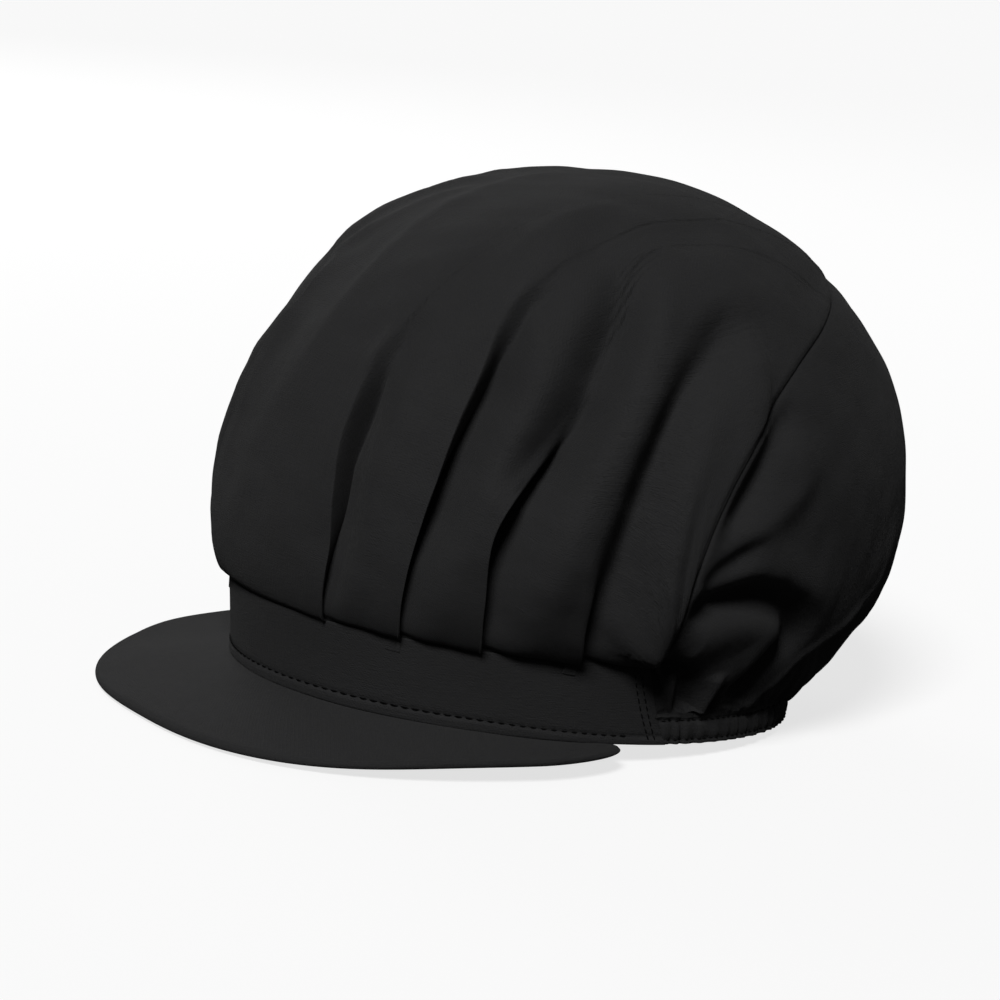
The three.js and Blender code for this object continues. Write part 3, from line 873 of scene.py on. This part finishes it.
def back_panel(seam):
    """The gathered back panel, its upper edge pulled exactly onto the front panel's seam."""
    form = FORM_OVER_CASING
    places = back_places()
    base = crown_point(form, places)
    normal = crown_normal(form, places)
    heights = np.linspace(form["foot"], CROWN_FOOT, BACK_ROWS)
    left = opening_point(side_seam_angle(heights) - SIDE_TUCK, SIDE_INSET, heights)
    right = left * np.array([-1, 1, 1])
    head = resample(seam, np.linspace(0, 1, BACK_COLUMNS))
    along_row = run_length(base, 0)
    along_column = run_length(base, 1)
    to_seam = along_column[:, -1:] - along_column
    to_left, to_right = along_row, along_row[-1] - along_row
    near_seam = fade(to_seam, 20)[..., None]
    pull = near_seam * (head - base[:, -1])[:, None]
    for edge, column, gap in ((left, 0, to_left), (right, -1, to_right)):
        near_side = fade(gap, 11)[..., None]
        miss = edge - base[column]
        pull = pull + near_side * (miss - near_seam * miss[-1])
    to_edge = np.minimum(to_seam, np.minimum(to_left, to_right))
    inside = smooth(to_edge / 10)
    outwards = inside * both_sides(base, normal, form, BACK_STROKES)
    feet = back_feet()[:, None]
    u = along_casing(feet)
    rear = smooth((u - 55) / 40) * smooth((2 * CASING_HALF_RUN - 55 - u) / 40)
    fine = 1.5 * gathers(feet) * fade(along_column, 11, 1)
    broad = tubes(u * math.pi / 11.5 + np.sin(u / 19)) * 2.6
    broad = broad * smooth(along_column / 8) * fade(along_column, 24, 1) * (0.15 + 0.85 * rear)
    large = tubes(u * math.pi / 27 + 0.8 * np.sin(u / 31)) * 2.6
    large = large * smooth(along_column / 22) * fade(along_column, 55, 1) * rear
    outwards += smooth(to_edge / 3) * (broad + large) + fine
    outwards += inside * (0.5 * ripple(base, 52, 11) + 0.18 * ripple(base, 17, 12))
    outwards -= SEAM_GROOVE * fade(to_seam, SEAM_GROOVE_REACH) * smooth(along_column / 20)
    points = base + pull + normal * outwards[..., None]
    for row, (rise, inset) in enumerate(LAID_ROWS):
        height = UPPER_ROW + rise
        angle = casing_angle(np.linspace(0, 1, BACK_COLUMNS), height)
        points[:, row] = opening_point(angle, inset - casing_wave(angle, height), height)
    return points


def casing_outline():
    """Closed cross-section of the casing as (inset, height), up its outer face first."""
    face = [(0, height) for height in (1.2, 1.6, 2.0, 2.8, 4.0, 5.2, 6.2, 6.9, 7.4, 7.8, 8.2)]
    top = [(0.2, 9.0), (0.9, 9.6), (1.6, 9.8), (2.4, 9.8), (3.1, 9.6), (3.4, 9.0)]
    inner = [(3.4, 7), (3.4, 4.5), (3.4, 2), (3.3, 0.6), (2.9, 0.1), (1.6, 0.0)]
    return np.array([(0.35, 0.15), (0.05, 0.7), *face, *top, *inner])


def casing_wave(angle, height):
    """How far the casing's outer face puffs out between its two stitched rows."""
    rows = fade(height - LOWER_ROW, 0.7) + fade(height - UPPER_ROW, 0.7)
    middle = fade(height - (LOWER_ROW + UPPER_ROW) / 2, 2.4)
    return gathers(angle) * (1.05 + 0.3 * middle) + 0.3 * middle - 0.45 * rows + 0.2


def casing_angle(share, height):
    """Angle at a share of the way round the back; both ends follow the side seams."""
    start = side_seam_angle(height) - 0.003
    return start + share * (2 * math.pi - 2 * start)


def back_elastic():
    """A flat braid with rounded edges, drawn up in small waves."""
    start = side_seam_angle(CASING_HEIGHT / 2) + 0.01
    angle = np.linspace(start, 2 * math.pi - start, 300)[:, None]
    inset, height = np.array([
        (1.1, 2.2), (1.1, 5.2), (1.1, 8.2), (1.4, 8.6), (2.0, 8.6), (2.3, 8.2), (2.3, 5.2),
        (2.3, 2.2), (2.0, 1.8), (1.4, 1.8),
    ]).T
    return tube(opening_point(angle, inset + 0.12 * np.sin(angle * 70), height))


def back_casing():
    """The folded cloth tunnel along the back hem."""
    inset, height = casing_outline().T[:, None, :]
    angle = casing_angle(np.linspace(0, 1, 520)[:, None], height)
    outward = casing_wave(angle, height) * (inset < 1)
    inward = 0.5 * gathers(angle + 0.02) * (inset > 3)
    return tube(opening_point(angle, inset - outward + inward, height + 0 * angle))


# ---- headband ----

def stitch_row_height(angle):
    """The topstitched row drops towards the side seams."""
    return STITCH_HEIGHT - 1.1 * smooth((np.abs(angle) - 0.9) / 0.6)


def band_relief(angle, height):
    """How far the band's face sinks: the stitched row's dimples and the cloth's slight waves."""
    arc = run_length(opening_point(angle[:, 20], 0, 4.0))[:, None]
    row = stitch_row_height(angle)
    dimples = 0.28 + 0.10 * np.cos(2 * math.pi * arc / BAND_STITCH[0])
    edge_waves = 0.25 * smooth((row - height) / 1.5) * (1 + 0.4 * np.sin(arc / 5.5))
    top_waves = 0.35 * smooth((height - 12) / 14) * np.sin(arc / 11 + 1.5 * np.sin(arc / 37))
    broad_waves = 0.25 * np.sin(arc / 23) * np.sin(height / 9 + arc / 31)
    return fade(height - row, 0.75) * dimples - edge_waves - top_waves + broad_waves


def band_grid(inset, margin=0.0, columns=200):
    """Rows of a strip along the front of the opening, its edges rounded over."""
    edge = np.array([(1.0, 0.5), (0.6, 0.12), (0.2, 0.03), (0.03, 0.3)])
    stitched = np.linspace(3.3, 4.5, 7)
    level = np.concatenate([np.linspace(0.8, 3.1, 6), stitched, np.linspace(5, 25.2, 22)])
    curl = np.concatenate([edge[:, 0], np.zeros(len(level)), edge[::-1, 0]])
    height = np.concatenate([edge[:, 1], level, BAND_HEIGHT - edge[::-1, 1]])
    height = margin + height * (BAND_HEIGHT - margin - margin) / BAND_HEIGHT
    share = np.linspace(-1, 1, columns)
    angle = share[:, None] * (side_seam_angle(height) - 0.001)
    return angle, inset + curl, height


def headband_outer():
    """The smooth front band, dimpled along its topstitching."""
    angle, inset, height = band_grid(0, columns=480)
    return sheet(opening_point(angle, inset + band_relief(angle, height), height), 0.7)


def headband_layer(inset, margin, thickness):
    """A flat strip inside the band."""
    return sheet(opening_point(*band_grid(inset, margin)), thickness)


# ---- visor ----

def visor_edge(angle):
    turn = angle / VISOR_ARC * math.pi / 2
    power = 2 / VISOR_ROUNDNESS
    across = np.sign(turn) * np.abs(np.sin(turn)) ** power
    along = np.abs(np.cos(turn)) ** power
    cheek = 4 * np.sin(turn) ** 2 * np.cos(turn) ** 2
    droop = VISOR_TIP_DROOP * np.cos(turn) ** 2 + VISOR_CHEEK_DROOP * cheek
    depth = HALF_LENGTH + VISOR_REACH - VISOR_WIDEST
    return np.stack([VISOR_HALF_WIDTH * across, -VISOR_WIDEST - depth * along, -droop], -1)


def visor_reach(angle):
    """From the visor's inner edge to its free edge, narrowed at the rounded corners."""
    inner = opening_point(angle, -VISOR_GAP, 0.0)
    reach = visor_edge(angle) - inner
    width = np.linalg.norm(reach[..., :2], axis=-1)
    into = (np.abs(angle) - (VISOR_ARC - VISOR_END_ARC)) / VISOR_END_ARC
    corner = np.sqrt(np.clip(1 - np.maximum(into, 0) ** 2, 0, 1))
    share = np.maximum(corner, VISOR_CORNER / width)
    return inner, reach * share[..., None]


def visor_point(angle, from_edge, below):
    """A point by its distance in from the free edge, or past the inner edge when negative."""
    inner, reach = visor_reach(angle)
    width = np.linalg.norm(reach[..., :2], axis=-1)
    t = 1 - from_edge / width
    bow = np.where(t > 0, 0.7 * t + 0.3 * t * t, 0.2 * t)
    point = inner + reach * np.stack([t, t, bow], -1)
    point[..., 2] -= below
    return point


def visor_grid(profile, rows_across, below, tuck, arc_share=1.0):
    """Columns round the visor: from under the band, across, then the edge's own profile."""
    angles = arc_share * VISOR_ARC * np.sin(np.linspace(-1, 1, VISOR_COLUMNS) * math.pi / 2)
    width = np.linalg.norm(visor_reach(angles)[1][..., :2], axis=-1)
    ends = np.sqrt(np.clip(1 - (np.abs(angles) / VISOR_ARC) ** 14, 0, 1))
    shares = np.linspace(0, 1, rows_across, endpoint=False)
    across = [((width + tuck) * (1 - share) + profile[0][0] * share, below) for share in shares]
    return np.stack([
        visor_point(angles, from_edge, VISOR_END_DEPTH + (depth - VISOR_END_DEPTH) * ends)
        for from_edge, depth in across + profile
    ], 1)


def visor_top_cover():
    """The upper cloth, rolled over the free edge and hemmed below, a little uneven."""
    radius = VISOR_STACK / 2
    roll = [
        (radius * (1 - math.sin(turn)), radius * (1 - math.cos(turn)))
        for turn in np.linspace(0, math.pi, 12)
    ]
    hem = [(radius + step, VISOR_STACK) for step in (1.0, 2.2, 3.4)]
    grid = visor_grid(roll + hem, VISOR_ROWS, 0.0, VISOR_TUCK)
    wave = 0.22 * ripple(grid, 55, 21) * smooth(np.linspace(0, 1, grid.shape[1]) * 4)
    wave[:, VISOR_ROWS + 1:] *= 0.3
    grid[..., 2] += wave
    return sheet(grid[:, ::-1], CLOTH)


def visor_layer(inset, below, thickness, arc_share):
    """A layer inside the visor; it stops short of the thin, sewn-down ends."""
    grid = visor_grid([(inset, below)], 30, below, 0.5, arc_share)
    return sheet(grid[:, ::-1], thickness)


# ---- sewing thread ----

def stitches(path, normal, pitch, length, radius):
    """A row of separate stitches; each rises from the cloth and dives back into it."""
    distance = run_length(path)
    tangent = unit(np.gradient(path, axis=0))
    along = np.linspace(0, 1, 7)
    lift = radius * (1.5 * np.sin(math.pi * along) - 0.9)
    girth = radius * np.array([0.55, 0.85, 1, 1, 1, 0.85, 0.55])
    turns = np.linspace(0, 2 * math.pi, STITCH_SIDES, endpoint=False)[:, None]
    parts = []
    for k in range(int((distance[-1] - length) // pitch) + 1):
        at = k * pitch + along * length
        centre, way, out = (
            np.stack([np.interp(at, distance, rows[:, c]) for c in range(3)], -1)
            for rows in (path, tangent, normal)
        )
        side = unit(np.cross(way, out))
        out = unit(out)
        centre = centre + out * lift[:, None]
        ring = out[:, None] * np.cos(turns) + side[:, None] * np.sin(turns)
        parts.append(tube(centre[:, None] + ring * girth[:, None, None]))
    return joined(parts)


def opening_normal(angle):
    vectors = np.stack([np.sin(angle) / HALF_WIDTH, -np.cos(angle) / HALF_LENGTH, 0 * angle], -1)
    return unit(vectors)


def band_topstitch():
    """The row just above the band's lower edge."""
    limit = side_seam_angle(3.0) - 1.6 * SIDE_STITCH_AHEAD
    angle = np.linspace(-limit, limit, 900)
    path = opening_point(angle, 0.12, stitch_row_height(angle))
    return stitches(path, opening_normal(angle), *BAND_STITCH)


def side_seam_rows(side):
    """Two upright rows just ahead of the side seam."""
    height = np.linspace(1.2, BAND_HEIGHT - 1.0, 80)
    parts = []
    for ahead in (0.0, 0.026):
        angle = side * (side_seam_angle(height) - SIDE_STITCH_AHEAD / 2 - ahead)
        path = opening_point(angle, -0.02, height)
        parts.append(stitches(path, opening_normal(angle), *SIDE_STITCH))
    return joined(parts)


def casing_row(height):
    """A row round the casing, stopping just short of its ends."""
    angle = casing_angle(np.linspace(0, 1, 1500)[6:-6], height)
    path = opening_point(angle, -casing_wave(angle, height), height)
    return stitches(path, opening_normal(angle), *CASING_STITCH)


# ---- the seam tape inside the crown ----

SEAM_KEEP = slice(14, -14)  # the tape stops short of both ends of the seam


def columns_near_seam(grid, distance):
    """Points of every column at a distance from its upper end."""
    flipped = grid[:, ::-1]
    length = run_length(flipped, 1)
    return np.stack([
        np.stack([np.interp(distance, length[i], flipped[i, :, k]) for k in range(3)])
        for i in range(len(grid))
    ])


def seam_strip_points(front, front_normal, back, distances, inset):
    """Points alongside the crown seam, inside the cloth; ahead of the seam when negative."""
    shares = run_length(front[:, -1])
    whole = run_length(seam_line(front))
    side_edge = run_length(front[-1])[-1]
    shares = (whole[-1] - side_edge - shares) / whole[-1]
    rows = []
    for distance in distances:
        if distance <= 0:
            row = columns_near_seam(front, -distance)
        else:
            near = columns_near_seam(back, distance)
            places = np.linspace(0, 1, len(back))
            row = np.stack([np.interp(shares, places, near[:, k]) for k in range(3)], -1)
        rows.append(row - front_normal[:, -1] * inset)
    return np.stack(rows, 1)[SEAM_KEEP]


def seam_line(front):
    """The crown seam from the wearer's left over the top to the right."""
    return np.concatenate([front[-1], front[::-1, -1][1:], front[0, ::-1][1:]])


# ---- all pieces ----

front, front_normal = front_panel()
back = back_panel(seam_line(front))
tape = seam_strip_points(front, front_normal, back, (-5, -2.5, 0, 2.5, 5), 1.4)
seam_row = seam_strip_points(front, front_normal, back, (0,), 2.1)[:, 0]
seam_inwards = -unit(front_normal[SEAM_KEEP, -1])

PIECES = {
    "crown_and_band": [
        ("crown_front_panel", sheet(front, CLOTH), TWILL),
        ("crown_seam_tape", sheet(tape[:, ::-1], 0.5), TAPE),
        ("crown_seam_thread", stitches(seam_row, seam_inwards, *SEAM_STITCH), THREAD),
        ("headband_outer", headband_outer(), TWILL),
        ("headband_interlining", headband_layer(1.15, 2, 0.5), NONWOVEN),
        ("headband_lining", headband_layer(2.1, 0.2, 0.6), LINING),
        ("headband_topstitch_thread", band_topstitch(), THREAD),
        ("side_seam_thread_left", side_seam_rows(1), THREAD),
        ("side_seam_thread_right", side_seam_rows(-1), THREAD),
    ],
    "visor": [
        ("visor_top_cover", visor_top_cover(), TWILL),
        ("visor_board", visor_layer(1.9, 0.75, 0.9, 0.9), BOARD),
        ("visor_under_cover", visor_layer(1.7, 1.9, CLOTH, 0.96), LINING),
    ],
    "back_hem": [
        ("crown_back_panel", sheet(back, CLOTH), TWILL),
        ("back_casing", back_casing(), TWILL),
        ("back_elastic", back_elastic(), ELASTIC),
        ("casing_upper_thread", casing_row(UPPER_ROW), THREAD),
        ("casing_lower_thread", casing_row(LOWER_ROW), THREAD),
    ],
}

for body, pieces in PIECES.items():
    for name, mesh, material in pieces:
        attach(add_mesh("cap_" + name, *mesh, material), body, name)


# ---- studio ----

def floor_material():
    """Pale to the camera, dark to bounced light, so that the cap keeps its shadows."""
    n = Nodes("pale floor")
    pale = n.add("BsdfDiffuse", 0, {"Color": (0.36, 0.36, 0.36, 1)})
    glow = n.add("Emission", 0, {"Strength": 0.74})
    dim = n.add("BsdfDiffuse", 0, {"Color": (0.05, 0.05, 0.05, 1)})
    is_seen = n.add("LightPath", "Is Camera Ray", {})
    seen = n.add("AddShader", 0, {0: pale, 1: glow})
    surface = n.add("MixShader", 0, {0: is_seen, 1: dim, 2: seen})
    n.link(surface, n.tree.nodes["Material Output"].inputs["Surface"])
    return n.material


def add_floor():
    bpy.ops.mesh.primitive_plane_add(size=12, location=(0, 0, -0.0005))
    floor = bpy.context.object
    floor.name = "floor"
    floor.data.materials.append(floor_material())


def add_lamp(name, kind, towards, place=(0, 0, 0), **settings):
    """A light that shines along a direction."""
    light = bpy.data.lights.new(name, kind)
    for key, value in settings.items():
        setattr(light, key, value)
    lamp = bpy.data.objects.new(name, light)
    lamp.location = place
    lamp.rotation_euler = towards.to_track_quat("-Z", "Y").to_euler()
    bpy.context.scene.collection.objects.link(lamp)


def direction(azimuth, elevation):
    """Away from the cap; azimuth in radians from its front towards the wearer's left."""
    level = math.cos(elevation)
    return np.array([math.sin(azimuth) * level, -math.cos(azimuth) * level, math.sin(elevation)])


def add_key_light():
    """A wide, even light from the front left, high up."""
    towards = Vector(-direction(math.radians(42), math.radians(43)))
    add_lamp("key", "SUN", towards, energy=2.35, angle=math.radians(18))


def add_rim_light():
    """A softbox on the wearer's right, aimed at the middle of the cap."""
    place = Vector((-1.6, 0.3, 0.9))
    towards = Vector((0, 0, 0.09)) - place
    add_lamp("side rim", "AREA", towards, place, shape="RECTANGLE", size=1.0, size_y=1.0, energy=4)


def add_world(ambient):
    """White to the camera, and a weaker even light on the cap."""
    world = bpy.data.worlds.new("studio")
    world.use_nodes = True
    tree = world.node_tree
    background = tree.nodes["Background"]
    path = tree.nodes.new("ShaderNodeLightPath")
    strength = tree.nodes.new("ShaderNodeMapRange")
    tree.links.new(path.outputs["Is Camera Ray"], strength.inputs["Value"])
    strength.inputs["To Min"].default_value = ambient
    strength.inputs["To Max"].default_value = 1.0
    tree.links.new(strength.outputs["Result"], background.inputs["Strength"])
    background.inputs["Color"].default_value = (1, 1, 1, 1)
    bpy.context.scene.world = world


def add_camera():
    """Three-quarter view from the wearer's left front, with the photographer's slight roll."""
    azimuth, elevation, roll = (math.radians(angle) for angle in (55.0, 9.58, 9.2))
    distance, shift_right, shift_up = 1300.0, 3.7, -59.05
    back = direction(azimuth, elevation)
    right = np.array([math.cos(azimuth), math.sin(azimuth), 0])
    up = np.cross(back, right)
    rolled_right = math.cos(roll) * right + math.sin(roll) * up
    rolled_up = math.cos(roll) * up - math.sin(roll) * right
    centre = distance * back - shift_right * rolled_right - shift_up * rolled_up
    camera = bpy.data.cameras.new("camera")
    camera.sensor_width = 36
    camera.lens = 141.26
    camera.clip_end = 50
    item = bpy.data.objects.new("camera", camera)
    matrix = Matrix(turn_to_world([rolled_right, rolled_up, back]).T.tolist()).to_4x4()
    matrix.translation = Vector(to_world(centre))
    item.matrix_world = matrix
    bpy.context.scene.collection.objects.link(item)
    bpy.context.scene.camera = item


add_floor()
add_key_light()
add_rim_light()
add_world(ambient=0.045)
add_camera()
bpy.context.scene.view_settings.view_transform = "Standard"
